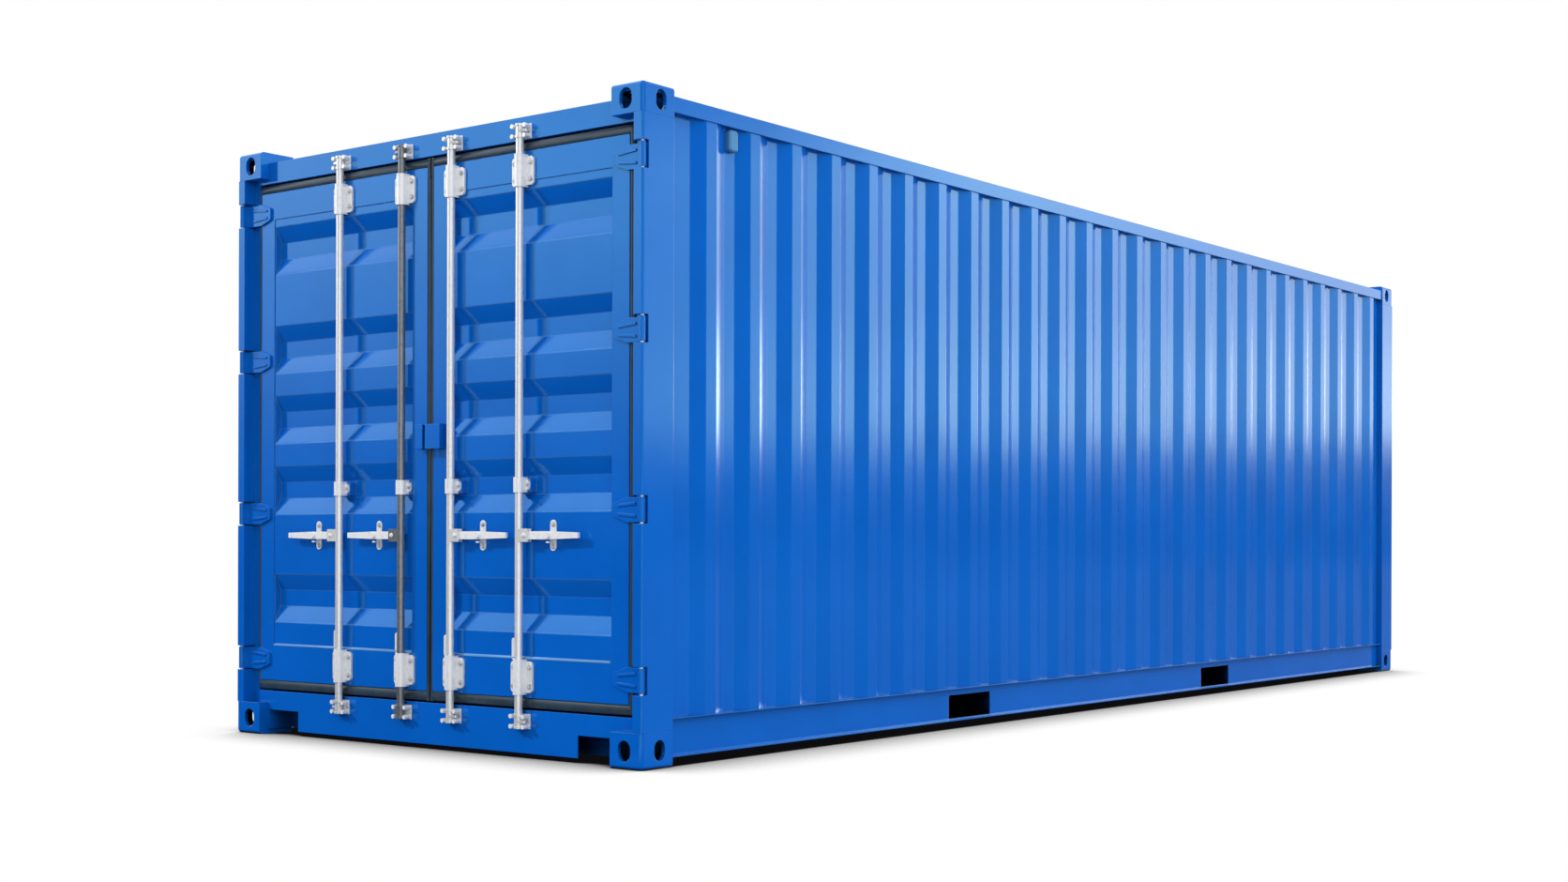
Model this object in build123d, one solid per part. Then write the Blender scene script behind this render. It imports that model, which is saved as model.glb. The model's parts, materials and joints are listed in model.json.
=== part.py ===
"""Steel shipping container with two swing doors, lock rods and lifting handles.

X runs along the length with the doors at the low end, Y to the left of the doors as seen from
outside, Z up from the ground under the middle. Millimetres and degrees.
"""
import os

from build123d import *

# Envelope, over the outer faces of the corner castings
LENGTH = 7620.0
WIDTH = 2438.0
HEIGHT = 2591.0

# Corner castings, with slots for twist locks above or below and lashing slots on the two sides
CASTING_LENGTH = 178.0
CASTING_WIDTH = 162.0
TOP_CASTING_HEIGHT = 118.0
BOTTOM_CASTING_HEIGHT = 140.0
CASTING_PLATE = 28.0
CASTING_WALL = 18.0
CASTING_BACK = 12.0
CASTING_ROUND = 16.0
LOCK_SLOT_LENGTH = 124.0
LOCK_SLOT_WIDTH = 63.5
LOCK_SLOT_FROM_END = 102.5
LOCK_SLOT_FROM_SIDE = 89.5
LASHING_SLOT_HEIGHT = 79.5
END_SLOT_WIDTH = 63.5
SIDE_SLOT_WIDTH = 60.0

# Folded and rolled steel of the frame
PLATE = 6.0
RAIL_PLATE = 4.5
SHEET = 2.0

# Side walls: trapezoid ribs between the posts, behind the casting faces
RIB_PITCH = 274.5
RIB_CREST = 61.0
RIB_SLOPE = 76.0
RIB_DEPTH = 25.0
RIB_SHIFT = 35.0
WALL_SETBACK = 10.0

# Rear wall: fewer and deeper ribs
REAR_RIB_PITCH = 250.0
REAR_RIB_CREST = 72.0
REAR_RIB_SLOPE = 40.0
REAR_RIB_DEPTH = 45.0
REAR_POST_WIDTH = 100.0

# Rails along the sides
RAIL_BOTTOM = 37.0
RAIL_HEIGHT = 150.0
RAIL_SETBACK = 5.0
RAIL_WEB_SETBACK = 35.0
RAIL_LEDGE = 14.0
TOP_RAIL_SIZE = 60.0
TOP_RAIL_SETBACK = 6.0
TOP_RAIL_DROP = 31.0

# Roof sheet with shallow troughs pressed across it
ROOF_OVERLAP = 52.0
ROOF_TROUGH_PITCH = 270.0
ROOF_TROUGH_LENGTH = 150.0
ROOF_TROUGH_EDGE = 95.0
ROOF_TROUGH_SLOPE = 40.0
ROOF_TROUGH_DEPTH = 18.0

# Floor: plywood sheets on channels that cross between the bottom rails
FLOOR_THICKNESS = 28.0
FLOOR_SHEETS = 6
FLOOR_JOINT = 2.0
BEARER_WIDTH = 45.0
BEARER_PLATE = 4.0
BEARER_PITCH = 300.0

# Fork pockets through both bottom rails, placed from the door end
POCKET_CENTRES = (2340.0, 4960.0)
POCKET_WIDTH = 360.0
POCKET_PLATE = 6.0
POCKET_LIFT = 2.0

# Door posts: a front strip, a recess behind it, the jamb and the stop behind the door
STRIP_WIDTH = 47.0
POST_ROUND = 8.0
RECESS_DEPTH = 62.0
JAMB_FROM_SIDE = 86.0
STOP_DEPTH = 105.0
STOP_WIDTH = 43.0

# Header and sill, set behind the casting faces
FACE_SETBACK = 46.0
HEADER_DROP = 46.0
HEADER_HEIGHT = 93.0
HEADER_LIP = 18.0
SILL_BOTTOM = 20.0
SILL_TOP = 192.0
SILL_CUT_WIDTH = 205.0
SILL_CUT_TOP = 108.0

# Door leaves, between the sill and the header
DOOR_SETBACK = 48.0
DOOR_THICKNESS = 50.0
DOOR_BOTTOM = 240.0
DOOR_TOP_GAP = 44.0
DOOR_FREE_EDGE = 19.0
DOOR_FROM_SIDE = 110.0
STILE_WIDTH = 89.0
TOP_FRAME = 118.0
BOTTOM_FRAME = 158.0
PANEL_SETBACK = 3.0

# Troughs across the sheet of a leaf, their levels and heights in shares of the sheet's height
TROUGH_SHARES = (0.110, 0.3626, 0.528, 0.6924, 0.9255)
TROUGH_HEIGHT_SHARE = 0.113
TROUGH_MARGIN = 3.0
TROUGH_SLOPE = 70.0
TROUGH_END_SLOPE = 3.0
TROUGH_DEPTH = 32.0

# Rubber seal round each leaf
SEAL_DEPTH = 40.0
SEAL_SETBACK = 3.0
SEAL_ROUND = 7.0
SEAL_TOP = 37.0
SEAL_BOTTOM = 41.0
SEAL_HINGE = 19.0
SEAL_FREE = 15.0

# Hinges on pins at the outer corners of the door posts, their levels in shares of the leaf's height
HINGE_SHARES = (0.0443, 0.3418, 0.6554, 0.9576)
HINGE_HEIGHT = 95.0
HINGE_NOTCH_CLEAR = 6.0
NOTCH_SIDE_DEPTH = 33.0
PIN_SETBACK = 14.0
PIN_FROM_SIDE = 14.0
PIN_RADIUS = 6.5
PIN_CLEAR = 0.3
BARREL_RADIUS = 11.0
NECK_OUT = 2.0
NECK_SLANT = 3.0
NECK_CORNER = 12.0
BLADE_THICKNESS = 10.0
BLADE_TIP_FROM_SIDE = 180.0
BLADE_SHOULDER_FROM_SIDE = 115.0
BLADE_TIP_HEIGHT = 50.0
BLADE_TIP_ROUND = 9.0
BLADE_RIB_HEIGHT = 10.0
BLADE_RIB_RISE = 5.0
BLADE_RIB_SPACING = 48.0
BLADE_RIB_TIP_SPACING = 32.0
BLADE_RIB_TIP_FROM_SIDE = 158.0
BLADE_RIB_ROOT_FROM_SIDE = 66.0

# Lock rods, two on each door
INNER_ROD_PLACE = 150.0
ROD_TO_HANDLE_TIP = 65.0
ROD_RADIUS = 16.0
ROD_SETBACK = 23.0
ROD_BOTTOM = 118.0
ROD_DROP = 78.0
COLLAR_RADIUS = 19.0
COLLAR_HEIGHT = 9.0
COLLAR_OFFSET = 24.0
CAM_FROM_END = 29.0
CAM_REACH = 40.0
CAM_NOSE_RADIUS = 8.0
CAM_THICKNESS = 10.0

# Keepers that take the cams, on the header and the sill
KEEPER_WIDTH = 88.0
KEEPER_HEIGHT = 60.0
KEEPER_PLATE = 4.0
KEEPER_LUG_RADIUS = 9.0
KEEPER_LUG_REACH = 32.0
KEEPER_LUG_OUT = 34.0
KEEPER_LUG_UP = 20.0

# Guides that carry the rods, the middle ones on spacers in the second trough
GUIDE_CLEAR = 0.4
GUIDE_WALL = 6.0
GUIDE_FLANGE = 10.0
GUIDE_FLANGE_SHORT = 16.0
GUIDE_ROUND = 15.0
TOP_GUIDE_DROP = 81.0
TOP_GUIDE_HEIGHT = 130.0
BOTTOM_GUIDE_RISE = 83.0
BOTTOM_GUIDE_HEIGHT = 140.0
END_GUIDE_WIDTH = 118.0
MIDDLE_GUIDE_HEIGHT = 60.0
MIDDLE_GUIDE_WIDTH = 76.0
SPACER_WIDTH = 76.0
SPACER_HEIGHT = 56.0
SPACER_PLATE = 4.0

# Handles that pivot in a hub on each rod, their level in a share of the door sheet's height
HANDLE_SHARE = 0.2569
HUB_HEIGHT = 52.0
HUB_REACH = 62.0
HUB_ROOT = 20.0
HUB_SETBACK = 8.0
HUB_CHEEK = 5.0
HANDLE_THICKNESS = 12.0
HANDLE_CLEAR = 0.5
HANDLE_PIVOT = 42.0
HANDLE_EYE_RADIUS = 18.0
HANDLE_REACH = 330.0
HANDLE_TIP_HEIGHT = 22.0
HANDLE_NECK_HEIGHT = 32.0
RIVET_RADIUS = 7.0
RIVET_CLEAR = 0.3

# Catch plates behind the handles and the hasp boss on each handle
CATCH_PLACE = 165.0
CATCH_HEIGHT = 122.0
CATCH_WIDTH = 32.0
CATCH_PLATE = 4.0
SHELF_DROP = 8.0
SHELF_THICKNESS = 6.0
SHELF_REACH = 31.0
HASP_RADIUS = 13.0
HASP_THICKNESS = 6.0

# Lock box across the middle, half of it on each door, its foot in a share of the door sheet's height
BOX_SHARE = 0.445
BOX_HEIGHT = 102.0
BOX_RISE = 37.0
BOX_PLATE = 4.0
BOX_INNER_EDGE = 8.0
BOX_OUTER_EDGE = {"left": 50.0, "right": 95.0}

# Ventilators in a hollow at the end of each side wall
VENT_WIDTH = 56.0
VENT_HEIGHT = 88.0
VENT_RISE = 26.0
VENT_DROP = 7.0
VENT_ROUND = 16.0
VENT_EDGE = 9.0

# Places worked out from the sizes above
FRONT = -LENGTH / 2
SIDE = WIDTH / 2
POST_INNER_X = LENGTH / 2 - CASTING_LENGTH
CASTING_INNER_Y = SIDE - CASTING_WIDTH
POST_BOTTOM = BOTTOM_CASTING_HEIGHT
POST_TOP = HEIGHT - TOP_CASTING_HEIGHT
RAIL_TOP = RAIL_BOTTOM + RAIL_HEIGHT
TOP_RAIL_TOP = HEIGHT - TOP_RAIL_DROP
TOP_RAIL_BOTTOM = TOP_RAIL_TOP - TOP_RAIL_SIZE
TOP_RAIL_INNER_Y = SIDE - TOP_RAIL_SETBACK - TOP_RAIL_SIZE
WALL_HOLLOW_Y = SIDE - WALL_SETBACK - RIB_DEPTH
RAIL_WEB_Y = SIDE - RAIL_WEB_SETBACK
RAIL_INNER_Y = RAIL_WEB_Y - RAIL_PLATE
FLOOR_EDGE_Y = RAIL_WEB_Y - RAIL_LEDGE
FLOOR_BOTTOM = RAIL_TOP - FLOOR_THICKNESS
ROOF_TOP = TOP_RAIL_TOP + SHEET
JAMB_Y = SIDE - JAMB_FROM_SIDE
STOP_Y = JAMB_Y - STOP_WIDTH
REAR_POST_Y = SIDE - REAR_POST_WIDTH
PIN_Y = SIDE - PIN_FROM_SIDE
FACE = FRONT + FACE_SETBACK
HEADER_TOP = HEIGHT - HEADER_DROP
HEADER_BOTTOM = HEADER_TOP - HEADER_HEIGHT
DOOR_FACE = FRONT + DOOR_SETBACK
DOOR_TOP = HEADER_BOTTOM - DOOR_TOP_GAP
DOOR_HINGE_EDGE = SIDE - DOOR_FROM_SIDE
PANEL_BOTTOM = DOOR_BOTTOM + BOTTOM_FRAME
PANEL_HEIGHT = DOOR_TOP - TOP_FRAME - PANEL_BOTTOM
PANEL_FACE = DOOR_FACE + PANEL_SETBACK
TROUGH_FLOOR = PANEL_FACE + TROUGH_DEPTH
TROUGH_HEIGHT = TROUGH_HEIGHT_SHARE * PANEL_HEIGHT
TROUGH_MIDDLES = [PANEL_BOTTOM + share * PANEL_HEIGHT for share in TROUGH_SHARES]
HINGE_MIDDLES = [DOOR_BOTTOM + share * (DOOR_TOP - DOOR_BOTTOM) for share in HINGE_SHARES]
MIDDLE_GUIDE_LEVEL = TROUGH_MIDDLES[1]
HANDLE_LEVEL = PANEL_BOTTOM + HANDLE_SHARE * PANEL_HEIGHT
BOX_BOTTOM = PANEL_BOTTOM + BOX_SHARE * PANEL_HEIGHT
BOX_TOP = BOX_BOTTOM + BOX_HEIGHT
ROD_PLACES = (INNER_ROD_PLACE + HANDLE_REACH + ROD_TO_HANDLE_TIP, INNER_ROD_PLACE)
ROD_X = FRONT + ROD_SETBACK
ROD_TOP = HEIGHT - ROD_DROP


def block(x, y, z):
    """Box between the low and high ends given on each axis."""
    spans = (x, y, z)
    size = [high - low for low, high in spans]
    middle = [(high + low) / 2 for low, high in spans]
    return Pos(*middle) * Box(*size)


def about(middle, size):
    """Low and high ends of a span about its middle."""
    return (middle - size / 2, middle + size / 2)


def upright(section, bottom, top):
    """A plan section raised from one height to another."""
    return extrude(Pos(0, 0, bottom) * section, top - bottom, dir=(0, 0, 1))


def across(outline, low, high):
    """An outline in X and Z carried along Y."""
    plane = Plane((0, low, 0), x_dir=(1, 0, 0), z_dir=(0, -1, 0))
    return extrude(plane * Polygon(*outline, align=None), high - low, dir=(0, 1, 0))


def lengthways(outline, low, high):
    """An outline in Y and Z carried along X."""
    plane = Plane((low, 0, 0), x_dir=(0, 1, 0), z_dir=(1, 0, 0))
    return extrude(plane * Polygon(*outline, align=None), high - low, dir=(1, 0, 0))


def other_side(shape):
    """The same piece on the right side of the container."""
    return mirror(shape, about=Plane.XZ)


def for_sides(name, shape):
    """Left and right nodes of a piece made for the left side."""
    return {f"left_{name}": shape, f"right_{name}": other_side(shape)}


def together(solids):
    """Like solids that stay apart in one node."""
    return Compound(children=[solid for shape in solids for solid in shape.solids()])


def rib_line(span, pitch, crest, slope, depth, shift=0.0):
    """Points of a trapezoid rib line from flat to flat, its ribs centred or shifted along it."""
    count = int((span - crest - 2 * slope) // pitch) + 1
    line = [(-span / 2, 0)]
    for index in range(count):
        middle = shift + (index - (count - 1) / 2) * pitch
        line.append((middle - crest / 2 - slope, 0))
        line.append((middle - crest / 2, depth))
        line.append((middle + crest / 2, depth))
        line.append((middle + crest / 2 + slope, 0))
    return line + [(span / 2, 0)]


def ribbed_sheet(line):
    """Plan section of a ribbed sheet, with its hollows' outer face on the line's zero."""
    inner = [(along, out - SHEET) for along, out in reversed(line)]
    return Polygon(*line, *inner, align=None)


def pressed_sheet(length, height, troughs, slopes, depth):
    """Sheet with its face on the XY plane and troughs pressed below it."""

    def tub(trough, grow, drop):
        along, up, size_x, size_y = trough
        mouth = Pos(along, up) * Rectangle(size_x + 2 * grow, size_y + 2 * grow)
        base_x, base_y = (size - 2 * (slope - grow) for size, slope in zip((size_x, size_y), slopes))
        base = Pos(along, up, -drop) * Rectangle(base_x, base_y)
        return loft([mouth.face(), base.face()])

    sheet = Pos(0, 0, -SHEET / 2) * Box(length, height, SHEET)
    for trough in troughs:
        sheet += tub(trough, SHEET, depth + SHEET)
    for trough in troughs:
        sheet -= tub(trough, 0, depth)
    return sheet


# Frame


def casting(height):
    """Casting of a given height at the top of the rear left corner."""
    end, top = LENGTH / 2, HEIGHT
    inner_x, bottom = end - CASTING_LENGTH, top - height
    body = block((inner_x, end), (CASTING_INNER_Y, SIDE), (bottom, top))
    outer = [
        edge
        for edge in body.edges()
        if sum(abs(a - b) < 1 for a, b in zip(edge.center(), (end, SIDE, top))) == 2
    ]
    body = fillet(outer, CASTING_ROUND)
    body -= block(
        (inner_x + CASTING_BACK, end - CASTING_WALL),
        (CASTING_INNER_Y + CASTING_BACK, SIDE - CASTING_WALL),
        (bottom + CASTING_BACK, top - CASTING_PLATE),
    )
    lock_x, lock_y = end - LOCK_SLOT_FROM_END, SIDE - LOCK_SLOT_FROM_SIDE
    middle = top - height / 2
    lock = Plane((lock_x, lock_y, top)) * SlotOverall(LOCK_SLOT_LENGTH, LOCK_SLOT_WIDTH)
    end_plane = Plane((end, lock_y, middle), x_dir=(0, 0, 1), z_dir=(1, 0, 0))
    side_plane = Plane((lock_x, SIDE, middle), x_dir=(0, 0, 1), z_dir=(0, 1, 0))
    end_slot = end_plane * SlotOverall(LASHING_SLOT_HEIGHT, END_SLOT_WIDTH)
    side_slot = side_plane * SlotOverall(LASHING_SLOT_HEIGHT, SIDE_SLOT_WIDTH)
    body -= extrude(lock, -CASTING_PLATE)
    body -= extrude(end_slot, -CASTING_WALL)
    body -= extrude(side_slot, -CASTING_WALL)
    return body


def castings():
    """Four top castings and four taller bottom castings."""

    def at_corners(corner):
        left = [corner, mirror(corner, about=Plane.YZ)]
        return together(left + [other_side(each) for each in left])

    lower = mirror(casting(BOTTOM_CASTING_HEIGHT), about=Plane.XY.offset(HEIGHT / 2))
    return {
        "top_corner_castings": at_corners(casting(TOP_CASTING_HEIGHT)),
        "bottom_corner_castings": at_corners(lower),
    }


def door_post():
    """Left door post: hollow behind, with a solid front strip notched for the hinges."""
    strip_y = SIDE - STRIP_WIDTH
    back = FRONT + CASTING_LENGTH
    floor, stop = FRONT + RECESS_DEPTH, FRONT + STOP_DEPTH
    outline = Polygon(
        (FRONT, SIDE),
        (FRONT, strip_y),
        (floor, strip_y),
        (floor, JAMB_Y),
        (stop, JAMB_Y),
        (stop, STOP_Y),
        (back, STOP_Y),
        (back, SIDE),
        align=None,
    )
    corner = outline.vertices().sort_by_distance((FRONT, SIDE, 0))[0]
    outline = fillet(corner, POST_ROUND)
    hollow = Polygon(
        (floor + PLATE, SIDE - PLATE),
        (floor + PLATE, JAMB_Y + PLATE),
        (stop + PLATE, JAMB_Y + PLATE),
        (stop + PLATE, STOP_Y + PLATE),
        (back - PLATE, STOP_Y + PLATE),
        (back - PLATE, SIDE - PLATE),
        align=None,
    )
    post = upright(outline - hollow, POST_BOTTOM, POST_TOP)
    notch_height = HINGE_HEIGHT + 2 * HINGE_NOTCH_CLEAR
    for middle in HINGE_MIDDLES:
        z = about(middle, notch_height)
        post -= block((FRONT, floor), (strip_y, SIDE - PLATE), z)
        post -= block((FRONT, FRONT + NOTCH_SIDE_DEPTH), (SIDE - PLATE, SIDE), z)
    return post


def hinge_pins():
    """Pins that stand in the notches of the left door post."""
    height = HINGE_HEIGHT + 2 * HINGE_NOTCH_CLEAR
    return [Pos(FRONT + PIN_SETBACK, PIN_Y, middle) * Cylinder(PIN_RADIUS, height) for middle in HINGE_MIDDLES]


def rear_post():
    """Left rear post, a box section."""
    x, y = (POST_INNER_X, LENGTH / 2), (REAR_POST_Y, SIDE)
    post = block(x, y, (POST_BOTTOM, POST_TOP))
    inside_x = (x[0] + PLATE, x[1] - PLATE)
    inside_y = (y[0] + PLATE, y[1] - PLATE)
    return post - block(inside_x, inside_y, (POST_BOTTOM, POST_TOP))


def door_header():
    """Channel over the doors, open behind, with ears down to the posts and a lip for the roof."""
    back = -POST_INNER_X
    stop = FRONT + STOP_DEPTH
    ear = (HEADER_BOTTOM, POST_TOP)
    header = block((FACE, back), (-CASTING_INNER_Y, CASTING_INNER_Y), (HEADER_BOTTOM, HEADER_TOP))
    header -= block(
        (FACE + PLATE, back),
        (-CASTING_INNER_Y, CASTING_INNER_Y),
        (HEADER_BOTTOM + PLATE, HEADER_TOP - PLATE),
    )
    lip = block((back - HEADER_LIP, back), (-CASTING_INNER_Y, CASTING_INNER_Y), (HEADER_TOP, ROOF_TOP))
    header += lip
    for side in (1, -1):
        for x, reach in (((FACE, stop), JAMB_Y), ((stop, back), STOP_Y)):
            y = sorted((side * CASTING_INNER_Y, side * reach))
            header += block(x, y, ear)
    return header


def door_sill():
    """Sill under the doors, open below, with a cut-out beside each casting."""
    back = -POST_INNER_X
    stop = FRONT + STOP_DEPTH
    sill = block((FACE, back), (-CASTING_INNER_Y, CASTING_INNER_Y), (SILL_BOTTOM, SILL_TOP))
    for side in (1, -1):
        for x, reach in (((FACE, stop), JAMB_Y), ((stop, back), STOP_Y)):
            y = sorted((side * CASTING_INNER_Y, side * reach))
            sill += block(x, y, (POST_BOTTOM, SILL_TOP))
    inside_y = CASTING_INNER_Y - PLATE
    sill -= block(
        (FACE + PLATE, back - PLATE), (-inside_y, inside_y), (SILL_BOTTOM, SILL_TOP - PLATE)
    )
    for side in (1, -1):
        y = sorted((side * inside_y, side * (inside_y - SILL_CUT_WIDTH)))
        sill -= block((FACE, FACE + PLATE), y, (SILL_BOTTOM, SILL_CUT_TOP))
    return sill


def rear_bottom_rail():
    """Rail under the rear wall, open below."""
    x = (POST_INNER_X, LENGTH / 2 - RAIL_SETBACK)
    rail = block(x, (-CASTING_INNER_Y, CASTING_INNER_Y), (RAIL_BOTTOM, POST_BOTTOM))
    rail += block(x, (-REAR_POST_Y, REAR_POST_Y), (POST_BOTTOM, RAIL_TOP))
    inside_x = (x[0] + PLATE, x[1] - PLATE)
    inside_y = (-CASTING_INNER_Y + PLATE, CASTING_INNER_Y - PLATE)
    return rail - block(inside_x, inside_y, (RAIL_BOTTOM, RAIL_TOP - PLATE))


def rear_top_rail():
    """Rail over the rear wall, open to the inside, level with the roof sheet."""
    x = (POST_INNER_X, LENGTH / 2 - TOP_RAIL_SETBACK)
    y = (-CASTING_INNER_Y, CASTING_INNER_Y)
    rail = block(x, y, (POST_TOP, ROOF_TOP))
    return rail - block((x[0], x[1] - PLATE), y, (POST_TOP + PLATE, ROOF_TOP - PLATE))


def top_rail():
    """Left top rail, a square tube."""
    y = (TOP_RAIL_INNER_Y, TOP_RAIL_INNER_Y + TOP_RAIL_SIZE)
    z = (TOP_RAIL_BOTTOM, TOP_RAIL_TOP)
    x = (-POST_INNER_X, POST_INNER_X)
    tube = block(x, y, z)
    inside_y = (y[0] + RAIL_PLATE, y[1] - RAIL_PLATE)
    inside_z = (z[0] + RAIL_PLATE, z[1] - RAIL_PLATE)
    return tube - block(x, inside_y, inside_z)


def bottom_rail():
    """Left bottom rail: flanges outward and a ledge inward under the wall, cut for the fork pockets."""
    lip_y = SIDE - RAIL_SETBACK
    outline = [
        (lip_y, RAIL_TOP),
        (FLOOR_EDGE_Y, RAIL_TOP),
        (FLOOR_EDGE_Y, RAIL_TOP - RAIL_PLATE),
        (RAIL_INNER_Y, RAIL_TOP - RAIL_PLATE),
        (RAIL_INNER_Y, RAIL_BOTTOM),
        (lip_y, RAIL_BOTTOM),
        (lip_y, RAIL_BOTTOM + RAIL_PLATE),
        (RAIL_WEB_Y, RAIL_BOTTOM + RAIL_PLATE),
        (RAIL_WEB_Y, RAIL_TOP - RAIL_PLATE),
        (lip_y, RAIL_TOP - RAIL_PLATE),
    ]
    rail = lengthways(outline, -POST_INNER_X, POST_INNER_X)
    for centre in POCKET_CENTRES:
        rail -= block(about(FRONT + centre, POCKET_WIDTH), (RAIL_INNER_Y, RAIL_WEB_Y), pocket_heights())
    return rail


def pocket_heights():
    """Clear heights of a fork pocket, low and high."""
    low = RAIL_BOTTOM + POCKET_LIFT + POCKET_PLATE
    return (low, FLOOR_BOTTOM - POCKET_PLATE)


def fork_pockets():
    """Tunnels between the bottom rails for the forks of a lift truck."""
    low, high = pocket_heights()
    tunnels = []
    for centre in POCKET_CENTRES:
        outer_x = about(FRONT + centre, POCKET_WIDTH + 2 * POCKET_PLATE)
        y = (-RAIL_INNER_Y, RAIL_INNER_Y)
        tunnel = block(outer_x, y, (low - POCKET_PLATE, high + POCKET_PLATE))
        tunnels.append(tunnel - block(about(FRONT + centre, POCKET_WIDTH), y, (low, high)))
    return together(tunnels)


def cross_members():
    """Channels under the floor, left out where the fork pockets run."""
    count = int((2 * POST_INNER_X - BEARER_WIDTH) // BEARER_PITCH)
    keep_off = POCKET_WIDTH / 2 + POCKET_PLATE + BEARER_WIDTH
    bearers = []
    for index in range(count):
        middle = (index - (count - 1) / 2) * BEARER_PITCH
        if any(abs(middle - FRONT - centre) < keep_off for centre in POCKET_CENTRES):
            continue
        low, high = about(middle, BEARER_WIDTH)
        inner = low + BEARER_PLATE
        outline = [
            (low, RAIL_BOTTOM),
            (high, RAIL_BOTTOM),
            (high, RAIL_BOTTOM + BEARER_PLATE),
            (inner, RAIL_BOTTOM + BEARER_PLATE),
            (inner, FLOOR_BOTTOM - BEARER_PLATE),
            (high, FLOOR_BOTTOM - BEARER_PLATE),
            (high, FLOOR_BOTTOM),
            (low, FLOOR_BOTTOM),
        ]
        bearers.append(across(outline, -RAIL_INNER_Y, RAIL_INNER_Y))
    return together(bearers)


def floor():
    """Plywood sheets laid from the sill to the rear rail."""
    pitch = 2 * POST_INNER_X / FLOOR_SHEETS
    sheets = []
    for index in range(FLOOR_SHEETS):
        middle = (index - (FLOOR_SHEETS - 1) / 2) * pitch
        x = about(middle, pitch - FLOOR_JOINT)
        sheets.append(block(x, (-FLOOR_EDGE_Y, FLOOR_EDGE_Y), (FLOOR_BOTTOM, RAIL_TOP)))
    return together(sheets)


# Walls and roof


def side_line():
    """Rib line of a side wall, from the door end."""
    return rib_line(2 * POST_INNER_X, RIB_PITCH, RIB_CREST, RIB_SLOPE, RIB_DEPTH, RIB_SHIFT)


def side_wall():
    """Left wall sheet between the posts, from rail to rail."""
    return upright(Pos(0, WALL_HOLLOW_Y) * ribbed_sheet(side_line()), RAIL_TOP, TOP_RAIL_BOTTOM)


def rear_wall():
    """Rear wall sheet between the rear posts."""
    line = rib_line(2 * REAR_POST_Y, REAR_RIB_PITCH, REAR_RIB_CREST, REAR_RIB_SLOPE, REAR_RIB_DEPTH)
    hollow_x = LENGTH / 2 - WALL_SETBACK - REAR_RIB_DEPTH
    section = Pos(hollow_x, 0) * Rot(0, 0, -90) * ribbed_sheet(line)
    return upright(section, RAIL_TOP, POST_TOP)


def roof():
    """Roof sheet on the top rails, with troughs pressed across it."""
    length = 2 * POST_INNER_X
    width = 2 * (TOP_RAIL_INNER_Y + ROOF_OVERLAP)
    trough_width = width - 2 * ROOF_TROUGH_EDGE
    count = int((length - ROOF_TROUGH_LENGTH) // ROOF_TROUGH_PITCH) + 1
    middles = [(index - (count - 1) / 2) * ROOF_TROUGH_PITCH for index in range(count)]
    troughs = [(middle, 0, ROOF_TROUGH_LENGTH, trough_width) for middle in middles]
    slopes = (ROOF_TROUGH_SLOPE, ROOF_TROUGH_SLOPE)
    sheet = pressed_sheet(length, width, troughs, slopes, ROOF_TROUGH_DEPTH)
    return Pos(0, 0, ROOF_TOP) * sheet


def ventilator(middle):
    """Rounded cover in a hollow of the left wall, under the top rail."""
    level = TOP_RAIL_BOTTOM - VENT_DROP - VENT_HEIGHT / 2
    plane = Plane((middle, WALL_HOLLOW_Y, level), x_dir=(1, 0, 0), z_dir=(0, 1, 0))
    cover = extrude(plane * RectangleRounded(VENT_WIDTH, VENT_HEIGHT, VENT_ROUND), VENT_RISE)
    return fillet(cover.faces().sort_by(Axis.Y)[-1].edges(), VENT_EDGE)


def ventilators():
    """Covers in the first hollow of the right wall and the last of the left wall."""
    line = side_line()
    first, last = (line[4][0] + line[5][0]) / 2, (line[-6][0] + line[-5][0]) / 2
    return together([ventilator(last), other_side(ventilator(first))])


# Doors


def leaf_outline(grow_free=0.0, grow_hinge=0.0, grow_bottom=0.0, grow_top=0.0):
    """Spans in Y and Z of the left leaf, grown by the given amounts."""
    y = (DOOR_FREE_EDGE - grow_free, DOOR_HINGE_EDGE + grow_hinge)
    return y, (DOOR_BOTTOM - grow_bottom, DOOR_TOP + grow_top)


def door_frame():
    """Stiles and rails of the left leaf."""
    y, z = leaf_outline()
    x = (DOOR_FACE, DOOR_FACE + DOOR_THICKNESS)
    opening_y, opening_z = panel_spans()
    return block(x, y, z) - block(x, opening_y, opening_z)


def panel_spans():
    """Spans in Y and Z of the sheet between the stiles of the left leaf."""
    y = (DOOR_FREE_EDGE + STILE_WIDTH, DOOR_HINGE_EDGE - STILE_WIDTH)
    return y, (PANEL_BOTTOM, PANEL_BOTTOM + PANEL_HEIGHT)


def guide_spacer(place):
    """Folded channel, open above and below, that stands in a trough behind a middle guide."""
    z = about(MIDDLE_GUIDE_LEVEL, SPACER_HEIGHT)
    spacer = block((DOOR_FACE, TROUGH_FLOOR), about(place, SPACER_WIDTH), z)
    inside_y = about(place, SPACER_WIDTH - 2 * SPACER_PLATE)
    return spacer - block((DOOR_FACE + SPACER_PLATE, TROUGH_FLOOR), inside_y, z)


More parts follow.
